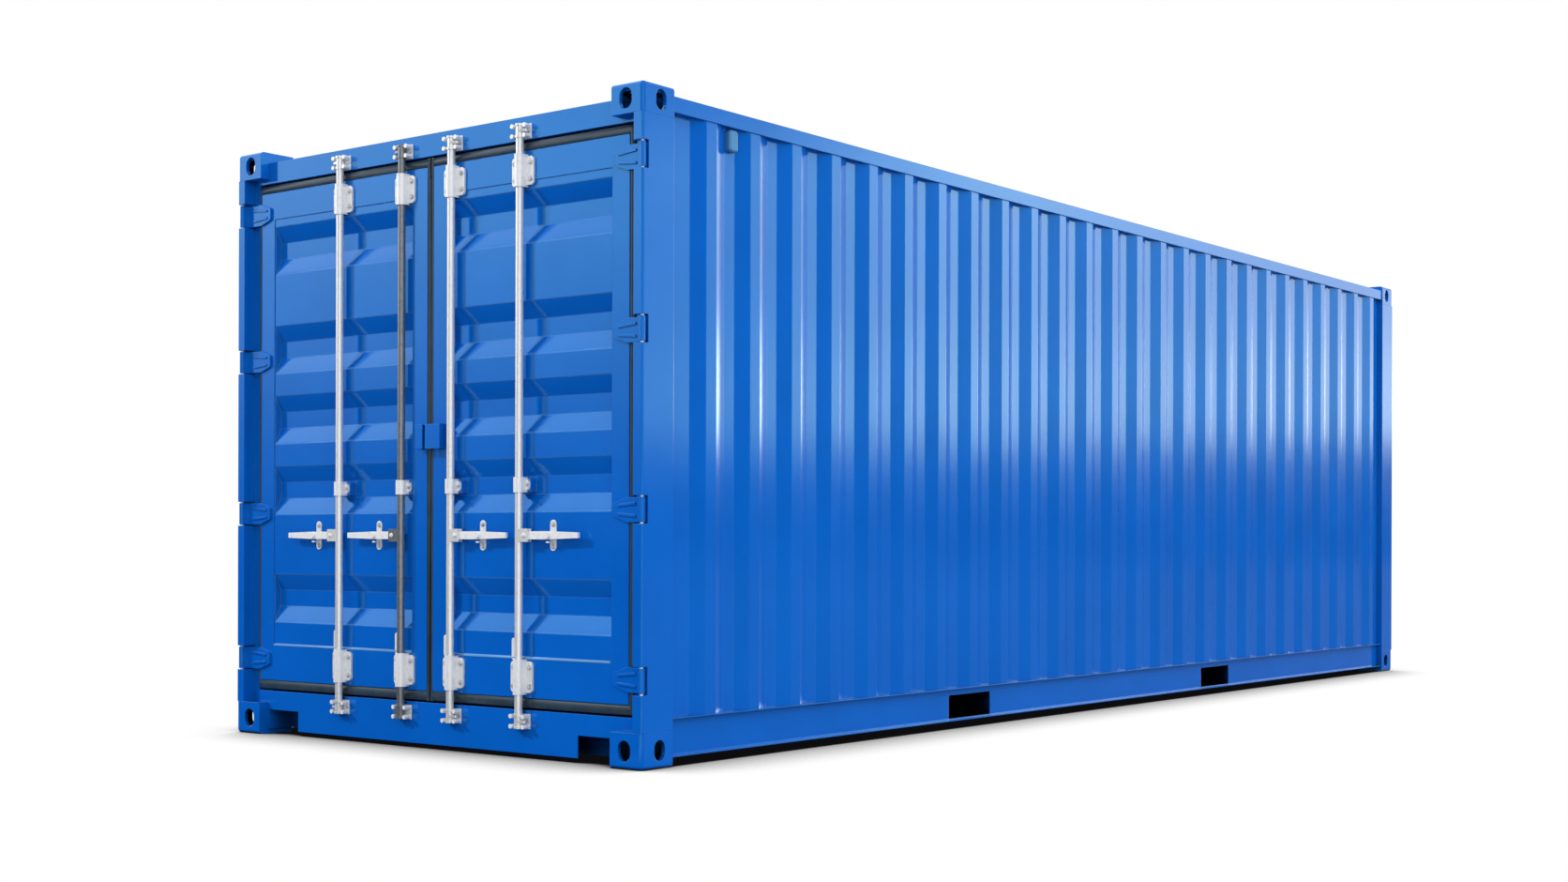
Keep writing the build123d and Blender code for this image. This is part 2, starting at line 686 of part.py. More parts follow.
def door_panel():
    """Pressed sheet of the left leaf, with the spacers of the middle guides."""
    y, z = panel_spans()
    width, height = y[1] - y[0], z[1] - z[0]
    middle = (z[0] + z[1]) / 2
    trough_width = width - 2 * TROUGH_MARGIN
    troughs = [(0, level - middle, trough_width, TROUGH_HEIGHT) for level in TROUGH_MIDDLES]
    sheet = pressed_sheet(width, height, troughs, (TROUGH_END_SLOPE, TROUGH_SLOPE), TROUGH_DEPTH)
    plane = Plane((PANEL_FACE, (y[0] + y[1]) / 2, middle), x_dir=(0, -1, 0), z_dir=(-1, 0, 0))
    panel = plane * sheet
    for place in ROD_PLACES:
        panel += guide_spacer(place)
    return panel


def door_seal():
    """Rubber round the left leaf, rounded in front."""
    front = DOOR_FACE + SEAL_SETBACK
    x = (front, front + SEAL_DEPTH)
    ring = block(x, *leaf_outline(SEAL_FREE, SEAL_HINGE, SEAL_BOTTOM, SEAL_TOP)) - block(x, *leaf_outline())
    return fillet(ring.faces().sort_by(Axis.X)[0].edges(), SEAL_ROUND)


def hinge_blade():
    """Hinge of the left leaf about its level: a bored barrel, a neck, a tapered blade and two ribs."""
    pin_x = FRONT + PIN_SETBACK
    front = DOOR_FACE - BLADE_THICKNESS
    tip_y, shoulder_y = SIDE - BLADE_TIP_FROM_SIDE, SIDE - BLADE_SHOULDER_FROM_SIDE
    neck_in, neck_out = PIN_Y - BARREL_RADIUS, PIN_Y + NECK_OUT
    plate = Polygon(
        (front, tip_y),
        (front, neck_in - NECK_SLANT),
        (pin_x, neck_in),
        (pin_x, neck_out),
        (DOOR_FACE - NECK_CORNER, neck_out),
        (DOOR_FACE, neck_out - NECK_CORNER),
        (DOOR_FACE, tip_y),
        align=None,
    )
    barrel = Pos(pin_x, PIN_Y) * Circle(BARREL_RADIUS)
    bore = Pos(pin_x, PIN_Y) * Circle(PIN_RADIUS + PIN_CLEAR)
    half, tip = HINGE_HEIGHT / 2, BLADE_TIP_HEIGHT / 2
    taper = Polygon(
        (tip_y, tip), (tip_y, -tip), (shoulder_y, -half), (SIDE, -half), (SIDE, half), (shoulder_y, half), align=None
    )
    taper = fillet(taper.vertices().group_by(Axis.X)[0], BLADE_TIP_ROUND)
    outline = Plane((FRONT, 0, 0), x_dir=(0, 1, 0), z_dir=(1, 0, 0)) * taper
    blade = upright(plate + barrel - bore, -half, half) & extrude(outline, DOOR_FACE - FRONT, dir=(1, 0, 0))
    root_y, rib_tip_y = SIDE - BLADE_RIB_ROOT_FROM_SIDE, SIDE - BLADE_RIB_TIP_FROM_SIDE
    for side in (1, -1):
        root, rib_tip = side * BLADE_RIB_SPACING / 2, side * BLADE_RIB_TIP_SPACING / 2
        low, high = about(0, BLADE_RIB_HEIGHT)
        rib = [
            (rib_tip_y, rib_tip + low), (root_y, root + low), (root_y, root + high), (rib_tip_y, rib_tip + high)
        ]
        blade += lengthways(rib, front - BLADE_RIB_RISE, front)
    return blade


def door_hinges():
    """Four hinges of the left leaf."""
    blade = hinge_blade()
    return together([Pos(0, 0, middle) * blade for middle in HINGE_MIDDLES])


def rod_guide(place, middle, height, width):
    """Housing round a rod, on a shorter flange that is bolted to the leaf on both sides of it."""
    inner = ROD_RADIUS + GUIDE_CLEAR
    outer = inner + GUIDE_WALL
    reach = DOOR_FACE - ROD_X
    leg = Pos(reach / 2, 0)
    z = about(middle, height)
    housing = upright(Pos(ROD_X, place) * (Circle(outer) + leg * Rectangle(reach, 2 * outer)), *z)
    channel = upright(Pos(ROD_X, place) * (Circle(inner) + leg * Rectangle(reach, 2 * inner)), *z)
    back = Plane((DOOR_FACE, place, middle), x_dir=(0, 1, 0), z_dir=(-1, 0, 0))
    flange = back * RectangleRounded(width, height - GUIDE_FLANGE_SHORT, GUIDE_ROUND)
    return housing + extrude(flange, GUIDE_FLANGE) - channel


def rod_guides():
    """Three guides on each rod of the left leaf."""
    top, bottom = DOOR_TOP - TOP_GUIDE_DROP, DOOR_BOTTOM + BOTTOM_GUIDE_RISE
    guides = []
    for place in ROD_PLACES:
        guides.append(rod_guide(place, top, TOP_GUIDE_HEIGHT, END_GUIDE_WIDTH))
        guides.append(rod_guide(place, MIDDLE_GUIDE_LEVEL, MIDDLE_GUIDE_HEIGHT, MIDDLE_GUIDE_WIDTH))
        guides.append(rod_guide(place, bottom, BOTTOM_GUIDE_HEIGHT, END_GUIDE_WIDTH))
    return together(guides)


def handle_catches():
    """Plates behind the handles of the left leaf, each with a shelf under the handle."""
    catches = []
    shelf_top = HANDLE_LEVEL - HANDLE_NECK_HEIGHT / 2 - SHELF_DROP
    for place in ROD_PLACES:
        middle = place + CATCH_PLACE
        plane = Plane((PANEL_FACE, middle, HANDLE_LEVEL), x_dir=(0, 0, 1), z_dir=(-1, 0, 0))
        catch = extrude(plane * SlotOverall(CATCH_HEIGHT, CATCH_WIDTH), CATCH_PLATE)
        front = PANEL_FACE - CATCH_PLATE
        shelf_z = (shelf_top - SHELF_THICKNESS, shelf_top)
        catch += block((front - SHELF_REACH, front), about(middle, CATCH_WIDTH / 2), shelf_z)
        catches.append(catch)
    return together(catches)


def lock_box(side):
    """Half of the lock box on one leaf, open below and towards the other leaf."""
    y = (BOX_INNER_EDGE, BOX_OUTER_EDGE[side])
    leaf_y = (DOOR_FREE_EDGE, y[1])
    x = (DOOR_FACE - BOX_RISE, DOOR_FACE)
    box = block((x[0], x[0] + BOX_PLATE), y, (BOX_BOTTOM, BOX_TOP))
    box += block(x, leaf_y, (BOX_TOP - BOX_PLATE, BOX_TOP))
    box += block(x, (y[1] - BOX_PLATE, y[1]), (BOX_BOTTOM, BOX_TOP))
    return box if side == "left" else other_side(box)


# Locking gear


def cam(end, inward):
    """Nose and collars near one end of a rod at the origin, the nose pointing to the hinges."""
    middle = end + inward * CAM_FROM_END
    outline = Circle(ROD_RADIUS) + Pos(0, CAM_REACH - CAM_NOSE_RADIUS) * Circle(CAM_NOSE_RADIUS)
    nose = upright(make_hull(outline.edges()), *about(middle, CAM_THICKNESS))
    for offset in (-COLLAR_OFFSET, COLLAR_OFFSET):
        nose += Pos(0, 0, middle + offset) * Cylinder(COLLAR_RADIUS, COLLAR_HEIGHT)
    return nose


def handle_hub():
    """Fork on a rod at the origin that holds a handle on a rivet."""
    front = HUB_SETBACK - ROD_SETBACK
    gap = HANDLE_THICKNESS + 2 * HANDLE_CLEAR
    slot = (front + HUB_CHEEK, front + HUB_CHEEK + gap)
    z = about(HANDLE_LEVEL, HUB_HEIGHT)
    hub = block((front, slot[1] + HUB_CHEEK), (0, HUB_REACH), z)
    hub -= block(slot, (HUB_ROOT, HUB_REACH), z)
    rivet = Pos(sum(slot) / 2, HANDLE_PIVOT, HANDLE_LEVEL) * Rot(0, 90, 0) * Cylinder(RIVET_RADIUS, gap)
    return hub + rivet


def lock_rod(place):
    """Rod of the left leaf with its cams and the hub of its handle."""
    rod = Pos(0, 0, (ROD_BOTTOM + ROD_TOP) / 2) * Cylinder(ROD_RADIUS, ROD_TOP - ROD_BOTTOM)
    rod += cam(ROD_BOTTOM, 1)
    rod += cam(ROD_TOP, -1)
    rod += handle_hub()
    return Pos(ROD_X, place, 0) * rod


def handle(place):
    """Handle of a rod of the left leaf, level and pointing to the hinges."""
    front = FRONT + HUB_SETBACK + HUB_CHEEK + HANDLE_CLEAR
    plane = Plane((front, place, HANDLE_LEVEL), x_dir=(0, 1, 0), z_dir=(1, 0, 0))
    neck, tip = HANDLE_NECK_HEIGHT / 2, HANDLE_TIP_HEIGHT / 2
    outline = Polygon(
        (HANDLE_PIVOT, neck),
        (HANDLE_PIVOT, -neck),
        (CATCH_PLACE, -neck),
        (HANDLE_REACH, -tip),
        (HANDLE_REACH, tip),
        (CATCH_PLACE, neck),
        align=None,
    )
    outline += Pos(HANDLE_PIVOT, 0) * Circle(HANDLE_EYE_RADIUS)
    outline -= Pos(HANDLE_PIVOT, 0) * Circle(RIVET_RADIUS + RIVET_CLEAR)
    arm = extrude(plane * outline, HANDLE_THICKNESS)
    hasp = plane * Pos(CATCH_PLACE, 0) * Circle(HASP_RADIUS)
    return arm + extrude(hasp, -HASP_THICKNESS)


def cam_keepers(level, face_x):
    """Keepers for the left rods at one end: a plate with four lugs round each cam."""
    keepers = []
    for place in ROD_PLACES:
        front = face_x - KEEPER_PLATE
        keeper = block((front, face_x), about(place, KEEPER_WIDTH), about(level, KEEPER_HEIGHT))
        for out in (-KEEPER_LUG_OUT, KEEPER_LUG_OUT):
            for up in (-KEEPER_LUG_UP, KEEPER_LUG_UP):
                lug_plane = Plane((front, place + out, level + up), z_dir=(-1, 0, 0))
                keeper += extrude(lug_plane * Circle(KEEPER_LUG_RADIUS), KEEPER_LUG_REACH)
        keepers.append(keeper)
    return keepers


def keepers_for(level):
    """Keepers on both sides at one height."""
    left = cam_keepers(level, FACE)
    return together(left + [other_side(each) for each in left])


def nodes():
    """Every node of the container by name."""
    pins = hinge_pins()
    outer_rod, inner_rod = (lock_rod(place) for place in ROD_PLACES)
    outer_handle, inner_handle = (handle(place) for place in ROD_PLACES)
    made = castings()
    made.update(for_sides("door_post", door_post()))
    made.update(for_sides("rear_post", rear_post()))
    made.update(for_sides("top_rail", top_rail()))
    made.update(for_sides("bottom_rail", bottom_rail()))
    made.update(for_sides("wall", side_wall()))
    made.update(for_sides("door_frame", door_frame()))
    made.update(for_sides("door_panel", door_panel()))
    made.update(for_sides("door_seal", door_seal()))
    made.update(for_sides("door_hinges", door_hinges()))
    made.update(for_sides("rod_guides", rod_guides()))
    made.update(for_sides("handle_catches", handle_catches()))
    made.update(for_sides("outer_lock_rod", outer_rod))
    made.update(for_sides("inner_lock_rod", inner_rod))
    made.update(for_sides("outer_handle", outer_handle))
    made.update(for_sides("inner_handle", inner_handle))
    made["left_lock_box"] = lock_box("left")
    made["right_lock_box"] = lock_box("right")
    made["hinge_pins"] = together(pins + [other_side(pin) for pin in pins])
    made["upper_cam_keepers"] = keepers_for(ROD_TOP - CAM_FROM_END)
    made["lower_cam_keepers"] = keepers_for(ROD_BOTTOM + CAM_FROM_END)
    made["door_header"] = door_header()
    made["door_sill"] = door_sill()
    made["rear_top_rail"] = rear_top_rail()
    made["rear_bottom_rail"] = rear_bottom_rail()
    made["rear_wall"] = rear_wall()
    made["roof"] = roof()
    made["floor"] = floor()
    made["cross_members"] = cross_members()
    made["fork_pockets"] = fork_pockets()
    made["ventilators"] = ventilators()
    return made


os.makedirs("parts", exist_ok=True)
for name, shape in nodes().items():
    export_step(shape, f"parts/{name}.step")
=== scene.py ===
"""Dresses the shipping container: paint, galvanised gear, rubber, plywood, fasteners, lights and camera.

Metres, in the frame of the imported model: X along the length with the doors at the low end, Y to the left
of the doors as seen from outside, Z up from the ground.
"""
import json
import math

import bmesh
import bpy
from mathutils import Matrix, Vector


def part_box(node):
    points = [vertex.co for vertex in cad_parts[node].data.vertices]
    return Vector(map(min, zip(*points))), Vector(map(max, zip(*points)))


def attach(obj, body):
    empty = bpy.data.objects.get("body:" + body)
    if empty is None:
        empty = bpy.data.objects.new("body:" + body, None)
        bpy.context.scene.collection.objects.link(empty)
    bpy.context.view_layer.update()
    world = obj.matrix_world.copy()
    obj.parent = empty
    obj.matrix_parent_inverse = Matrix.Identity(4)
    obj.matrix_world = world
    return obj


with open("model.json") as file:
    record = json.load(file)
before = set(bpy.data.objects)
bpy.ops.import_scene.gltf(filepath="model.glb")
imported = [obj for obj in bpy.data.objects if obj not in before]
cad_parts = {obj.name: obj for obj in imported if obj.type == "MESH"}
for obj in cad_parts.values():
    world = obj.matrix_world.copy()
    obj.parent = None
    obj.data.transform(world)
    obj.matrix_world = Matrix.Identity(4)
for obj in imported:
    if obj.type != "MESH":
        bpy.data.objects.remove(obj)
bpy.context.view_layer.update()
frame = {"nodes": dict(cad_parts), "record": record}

# Image and camera, fitted to the corners of the container in the photograph
IMAGE_WIDTH = 1672
IMAGE_HEIGHT = 940
FOCAL_PIXELS = 2102.7
HORIZON_ROW = 577.9
SENSOR_WIDTH = 36.0
CAMERA_PLACE = Vector((-9.322, -6.1543, 0.8593))
CAMERA_YAW = math.radians(-90) + 0.6584
CAMERA_ROLL = 0.0026

# Colours, linear
BLUE = (0.0012, 0.110, 0.53)
BLUE_DEEP = (0.0008, 0.097, 0.475)
GLOSS_TINT = (0.30, 1.0, 0.80)
VENT_BLUE = (0.060, 0.180, 0.42)
VENT_BLUE_DEEP = (0.045, 0.150, 0.36)
ZINC = (0.84, 0.86, 0.88)
ZINC_SPANGLE = (0.72, 0.745, 0.775)
# Darker zinc for the bolts, so that they stand out from the bright gear
ZINC_BOLT_LIGHT = (0.60, 0.61, 0.63)
ZINC_DULL = (0.24, 0.26, 0.29)
ZINC_DULL_SPANGLE = (0.16, 0.18, 0.21)
# Near black for painted shade, with some grime, deep in recesses
SHADE_AND_GRIME = (0.001, 0.002, 0.005)
# Paler blue painted on the folds of the sheets as a highlight
FOLD_HIGHLIGHT_BLUE = (0.06, 0.22, 0.60)
# Paler blue of the bead at the foot of the door sheets: a painted highlight
EDGE_HIGHLIGHT_BLUE = (0.16, 0.36, 0.72)
EDGE_HIGHLIGHT_BLUE_DEEP = (0.13, 0.32, 0.66)
RUBBER = (0.016, 0.032, 0.050)
RUBBER_DUSTY = (0.026, 0.050, 0.076)
PLY = (0.36, 0.20, 0.10)
PLY_DARK = (0.20, 0.10, 0.05)

# Finish of the paint: gloss, waves of the sheet and orange peel
PAINT_ROUGHNESS = (0.07, 0.13)
PAINT_IOR = 1.6
WAVE_SCALE = 3.2
WAVE_STRENGTH = 0.025
WAVE_DEPTH = 0.02
PEEL_SCALE = 420.0
PEEL_STRENGTH = 0.035
PEEL_DEPTH = 0.001
FRAME_ROUND = 0.003
SHEET_ROUND = 0.007
TRIM_ROUND = 0.002

# Finish of the zinc
ZINC_ROUND = 0.0015
GRAIN_DEPTH = 0.0006
ROD_METALLIC = 0.55
DULL_METALLIC = 0.7
ROD_SHEEN = (0.22, 0.30)
ROD_GRAIN = 0.03

# Painted highlight on the folds of the sheets, by how far the rounded normal leans from the flat one
FOLD_SHARP = 0.90
FOLD_FLAT = 0.99

# Painted shade, with some grime, in recesses, by the open share of their surroundings
RECESS_REACH = 0.25
CASTING_RECESS = (0.12, 0.42)
POCKET_RECESS = (0.45, 0.95)

# Fasteners
BOLT_RADIUS = 0.0080
BOLT_HEIGHT = 0.006
WASHER_HEIGHT = 0.0016
WASHER_OVER_BOLT = 1.35
SMALL_BOLT = 0.65
BOLT_FROM_EDGE = 0.014
BOLT_FROM_END = 0.024
CATCH_BOLT_FROM_END = 0.017
KEEPER_BOLT_FROM_EDGE = 0.010
HUB_RIVET_RADIUS = 0.010
BOLT_CHAMFER = 0.0012
WASHER_CHAMFER = 0.0004
ROUND_SIDES = 20
RIVET_STEPS = ((1.0, 0.3), (0.82, 0.55), (0.5, 0.7))
RIVET_CHAMFER = 0.12

# Places of the gear that the fasteners hold, from the frame
HUB_SETBACK = 0.008
GUIDE_FLANGE = 0.010
PANEL_SETBACK = 0.003
FOOT_PLATE = 0.004
DOOR_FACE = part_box("left_door_frame")[0].x
HUB_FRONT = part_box("left_door_post")[0].x + HUB_SETBACK
GUIDE_FLANGE_FACE = DOOR_FACE - GUIDE_FLANGE
PANEL_FACE = DOOR_FACE + PANEL_SETBACK
CATCH_FACE = PANEL_FACE - FOOT_PLATE
KEEPER_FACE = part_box("door_header")[0].x - FOOT_PLATE
GUIDE_END_GAP = 0.008
TALL_GUIDE = 0.08
ROD_RADIUS = 0.019
RIVET_FROM_ROD = 0.042
HOUSING_RADIUS = 0.0254
OUTWARD = Vector((-1, 0, 0))

SIDES = {"left": 1, "right": -1}
RODS = ("outer", "inner")

# Beads of the seals
SEAL_ROUND = 0.007
BEAD_RISE = 0.003
BEAD_STEPS = 14
SLEEVE_RISE = 0.003
SLEEVE_TOP = 0.045
SLEEVE_BOTTOM = 0.020

# Rounded edge at the foot of the door sheets
LEDGE_RADIUS = 0.006
LEDGE_INSET = 0.004
LEDGE_STEPS = 16

# Oblong plates that stand above the lower guides
PLATE_FROM_ROD = 0.052
PLATE_WIDTH = 0.020
PLATE_HEIGHT = 0.088
PLATE_THICKNESS = 0.005
PLATE_GAP = 0.003
PLATE_ROUND_STEPS = 10

# Stage
FLOOR_SIZE = 160.0
VIEW_REACH = 200.0

# Light
KEY_ENERGY = 2.0
KEY_SOFTNESS = math.radians(5)
KEY_FROM = Vector((-0.616, 0.788, 0.62))
AMBIENT = 1.55
AMBIENT_TO_WALL = 0.95
AMBIENT_AWAY = 0.4
AMBIENT_ZENITH_LOSS = 0.5
FLOOR_BOUNCE = 0.32
SHADOW = (0.004, 0.004, 0.005)
SHADOW_REACH = 0.6
SHADOW_DARK = 0.32
SHADOW_OPEN = 0.84
FLOOR_MIRRORED = 0.02
FLOOR_BESIDE = 0.20
BESIDE_Y = -1.3
BESIDE_X = -3.9

# What glossy surfaces mirror: strength by X of the direction, then by its Z, on the wall's side and the
# other, with the Y over which one side passes into the other
MIRROR_MOST = 4.0
DOOR_SIDE = (0.3, 0.5)
WALL_TURN = (
    (0.20, 0.0), (0.29, 0.12), (0.36, 0.6), (0.45, 1.2), (0.52, 1.5), (0.60, 1.2), (0.70, 1.15),
    (0.76, 1.25), (0.80, 2.2), (0.84, 3.0), (0.88, 2.4), (0.92, 1.9), (0.95, 1.7), (1.0, 2.2),
)
WALL_CLIMB = (
    (0.0, 0.02), (0.02, 0.06), (0.036, 0.14), (0.045, 0.36), (0.055, 1.3), (0.084, 1.3), (0.103, 1.1),
    (0.13, 1.0), (0.17, 1.1), (0.19, 1.35), (0.215, 0.6), (0.30, 0.5),
)
DOOR_CLIMB = (
    (0.0, 0.04), (0.028, 0.2), (0.047, 0.35), (0.065, 0.55), (0.084, 0.85), (0.103, 1.1), (0.122, 1.2),
    (0.14, 1.5), (0.158, 1.9), (0.178, 2.0), (0.30, 1.6),
)
GLINT_TURN = ((0.93, 0.0), (0.975, 0.9), (1.0, 1.0))
GLINT_CLIMB = ((0.046, 0.0), (0.062, 4.0), (0.088, 4.0), (0.12, 0.0))

# A bright floor and backdrop in front, which only the round gear mirrors
FRONT_LEVEL = 1.1
FRONT_FLOOR_X = -4.5
FRONT_FLOOR_Y = -1.3
FRONT_EDGE = 0.6
FRONT_TURN_X = (0.05, -0.25)
FRONT_TURN_Y = (-0.05, -0.30)


# Nodes


def adder(tree):
    """Function that adds a node to a tree, with its inputs linked or set."""

    def add(kind, inputs=None, **settings):
        made = tree.nodes.new(kind)
        for key, value in settings.items():
            setattr(made, key, value)
        for key, value in (inputs or {}).items():
            if isinstance(value, bpy.types.NodeSocket):
                tree.links.new(value, made.inputs[key])
            else:
                made.inputs[key].default_value = value
        return made

    return add


def node_tree(name):
    """New material with its Principled shader, and a function that adds linked nodes."""
    material = bpy.data.materials.new(name)
    material.use_nodes = True
    tree = material.node_tree
    return material, tree, tree.nodes["Principled BSDF"], adder(tree)


def calculate(add, operation, first, second):
    """Result of a sum on two values."""
    return add("ShaderNodeMath", {0: first, 1: second}, operation=operation).outputs["Value"]


def tint_between(add, factor, low, high):
    """Colour mixed from a fixed one at factor 0 to another at 1."""
    made = add("ShaderNodeMix", {"Factor": factor, 6: (*low, 1), 7: high}, data_type="RGBA")
    return made.outputs[2]


def ramp_between(add, factor, low, high, start=0.3, end=0.7):
    """Colour that runs from one to another over a span of a factor."""
    ramp = add("ShaderNodeValToRGB", {"Fac": factor})
    ramp.color_ramp.elements[0].position = start
    ramp.color_ramp.elements[1].position = end
    ramp.color_ramp.elements[0].color = (*low, 1)
    ramp.color_ramp.elements[1].color = (*high, 1)
    return ramp.outputs["Color"]


def curve_of(add, value, points):
    """Strength that follows points of (value, strength) in straight runs."""
    made = add("ShaderNodeValToRGB", {"Fac": value})
    elements = made.color_ramp.elements
    elements[0].position, elements[1].position = points[0][0], points[-1][0]
    for place, _ in points[1:-1]:
        elements.new(place)
    for element, (_, strength) in zip(elements, points):
        element.color = (*[strength / MIRROR_MOST] * 3, 1)
    return calculate(add, "MULTIPLY", made.outputs["Color"], MIRROR_MOST)


def step_between(add, value, start, end):
    """Smooth step from 0 at one value to 1 at another."""
    span = {"Value": value, "From Min": start, "From Max": end}
    return add("ShaderNodeMapRange", span, interpolation_type="SMOOTHSTEP").outputs["Result"]


def spread(add, factor, low, high):
    """Factor from 0 to 1 carried to a span."""
    return add("ShaderNodeMapRange", {"Value": factor, "To Min": low, "To Max": high}).outputs["Result"]


def noise(add, place, scale, detail=3.0, roughness=0.55):
    """Noise at a scale in features a metre."""
    inputs = {"Vector": place, "Scale": scale, "Detail": detail, "Roughness": roughness}
    return add("ShaderNodeTexNoise", inputs).outputs["Fac"]


# Materials


def paint(name, deep, light, edge_round, recess=None, fold=None):
    """Gloss paint on steel: orange peel, slow waves, faint dust, painted shade with some grime deep in
    recesses, and a painted highlight on the folds.
    """
    material, tree, shader, add = node_tree(name)
    place = add("ShaderNodeTexCoord").outputs["Object"]
    tone = noise(add, place, 2.6, 4.0)
    dust = noise(add, place, 38.0, 5.0, 0.7)
    colour = ramp_between(add, tone, deep, light)
    # Painted shade, with some grime: the colour runs to near black where little of the surroundings is open
    if recess:
        shelter = add("ShaderNodeAmbientOcclusion", {"Distance": RECESS_REACH}, samples=8).outputs["AO"]
        colour = tint_between(add, step_between(add, shelter, *recess), SHADE_AND_GRIME, colour)
    rounded = add("ShaderNodeBevel", {"Radius": edge_round}, samples=4)
    # Painted highlight: paler blue where the rounded normal leans from the flat one, along the folds
    if fold:
        flat = add("ShaderNodeNewGeometry").outputs["True Normal"]
        normals = {0: rounded.outputs["Normal"], 1: flat}
        bend = add("ShaderNodeVectorMath", normals, operation="DOT_PRODUCT").outputs["Value"]
        colour = tint_between(add, step_between(add, bend, FOLD_SHARP, FOLD_FLAT), fold, colour)
    tree.links.new(colour, shader.inputs["Base Color"])
    tree.links.new(spread(add, dust, *PAINT_ROUGHNESS), shader.inputs["Roughness"])
    shader.inputs["IOR"].default_value = PAINT_IOR
    shader.inputs["Specular Tint"].default_value = (*GLOSS_TINT, 1)
    wave = add(
        "ShaderNodeBump",
        {"Height": noise(add, place, WAVE_SCALE, 1.0), "Strength": WAVE_STRENGTH, "Distance": WAVE_DEPTH,
         "Normal": rounded.outputs["Normal"]},
    )
    peel = add(
        "ShaderNodeBump",
        {"Height": noise(add, place, PEEL_SCALE, 2.0), "Strength": PEEL_STRENGTH, "Distance": PEEL_DEPTH,
         "Normal": wave.outputs["Normal"]},
    )
    tree.links.new(peel.outputs["Normal"], shader.inputs["Normal"])
    return material


def zinc(name, light, dark, metallic=0.30, sheen=(0.28, 0.42), grain_strength=0.10):
    """Galvanised steel: spangles, soft streaks and a fine grain."""
    material, tree, shader, add = node_tree(name)
    place = add("ShaderNodeTexCoord").outputs["Object"]
    spangle = add("ShaderNodeTexVoronoi", {"Vector": place, "Scale": 95.0}, feature="F1")
    upright = add("ShaderNodeMapping", {"Vector": place, "Scale": (60.0, 60.0, 5.0)}).outputs["Vector"]
    streak = noise(add, upright, 1.0, 3.0)
    grain = noise(add, place, 900.0, 2.0)
    mixed = calculate(add, "ADD", spangle.outputs["Color"], streak)
    tree.links.new(ramp_between(add, mixed, dark, light, 0.4, 1.0), shader.inputs["Base Color"])
    shader.inputs["Metallic"].default_value = metallic
    tree.links.new(spread(add, streak, *sheen), shader.inputs["Roughness"])
    rounded = add("ShaderNodeBevel", {"Radius": ZINC_ROUND}, samples=4)
    bump = add(
        "ShaderNodeBump",
        {"Height": grain, "Strength": grain_strength, "Distance": GRAIN_DEPTH,
         "Normal": rounded.outputs["Normal"]},
    )
    tree.links.new(bump.outputs["Normal"], shader.inputs["Normal"])
    return material


def rubber(name):
    """Dark rubber with a dusty bloom and a fine grain."""
    material, tree, shader, add = node_tree(name)
    place = add("ShaderNodeTexCoord").outputs["Object"]
    bloom = noise(add, place, 14.0, 5.0, 0.65)
    tree.links.new(ramp_between(add, bloom, RUBBER, RUBBER_DUSTY), shader.inputs["Base Color"])
    tree.links.new(spread(add, bloom, 0.24, 0.36), shader.inputs["Roughness"])
    grain = noise(add, place, 600.0, 3.0)
    bump = add("ShaderNodeBump", {"Height": grain, "Strength": 0.15, "Distance": GRAIN_DEPTH})
    tree.links.new(bump.outputs["Normal"], shader.inputs["Normal"])
    return material


def plywood(name):
    """Sealed floor plywood: long grain, darker figure and scuffs."""
    material, tree, shader, add = node_tree(name)
    place = add("ShaderNodeTexCoord").outputs["Object"]
    along = add("ShaderNodeMapping", {"Vector": place, "Scale": (0.9, 14.0, 14.0)}).outputs["Vector"]
    grain = {"Vector": along, "Scale": 3.0, "Detail": 6.0, "Roughness": 0.6, "Distortion": 0.8}
    figure = add("ShaderNodeTexNoise", grain).outputs["Fac"]
    scuff = noise(add, place, 9.0, 6.0, 0.7)
    tree.links.new(ramp_between(add, figure, PLY_DARK, PLY), shader.inputs["Base Color"])
    tree.links.new(spread(add, scuff, 0.42, 0.72), shader.inputs["Roughness"])
    bump = add("ShaderNodeBump", {"Height": figure, "Strength": 0.25, "Distance": 0.001})
    tree.links.new(bump.outputs["Normal"], shader.inputs["Normal"])
    return material


PAINT = paint("blue_paint", BLUE_DEEP, BLUE, FRAME_ROUND)
# These two paints carry painted shade, with some grime, in recesses and pockets
PAINT_SHADED_RECESS = paint("blue_paint_shaded_recess", BLUE_DEEP, BLUE, FRAME_ROUND, CASTING_RECESS)
PAINT_SHADED_POCKET = paint("blue_paint_shaded_pocket", BLUE_DEEP, BLUE, FRAME_ROUND, POCKET_RECESS)
# Paler paint for the ledge beads: a painted highlight
PAINT_HIGHLIGHT_EDGE = paint("blue_paint_highlight_edge", EDGE_HIGHLIGHT_BLUE_DEEP, EDGE_HIGHLIGHT_BLUE, TRIM_ROUND)
# The sheet paint carries a painted highlight on its folds
PAINT_SHEET = paint("blue_paint_sheet", BLUE_DEEP, BLUE, SHEET_ROUND, fold=FOLD_HIGHLIGHT_BLUE)
PAINT_VENT = paint("grey_blue_paint", VENT_BLUE_DEEP, VENT_BLUE, TRIM_ROUND)
ZINC_BRIGHT = zinc("zinc_steel", ZINC, ZINC_SPANGLE)
ZINC_ROD = zinc("zinc_steel_rod", ZINC, ZINC_SPANGLE, ROD_METALLIC, ROD_SHEEN, ROD_GRAIN)
ZINC_GREY = zinc("zinc_steel_dull", ZINC_DULL, ZINC_DULL_SPANGLE, DULL_METALLIC, ROD_SHEEN, ROD_GRAIN)
ZINC_BOLTS = zinc("zinc_steel_bolts", ZINC_BOLT_LIGHT, ZINC_DULL)
SEAL = rubber("seal_rubber")
FLOOR = plywood("floor_plywood")
SLOT_MATERIALS = {
    "blue_paint": PAINT, "zinc_steel": ZINC_BRIGHT, "seal_rubber": SEAL, "floor_plywood": FLOOR,
}
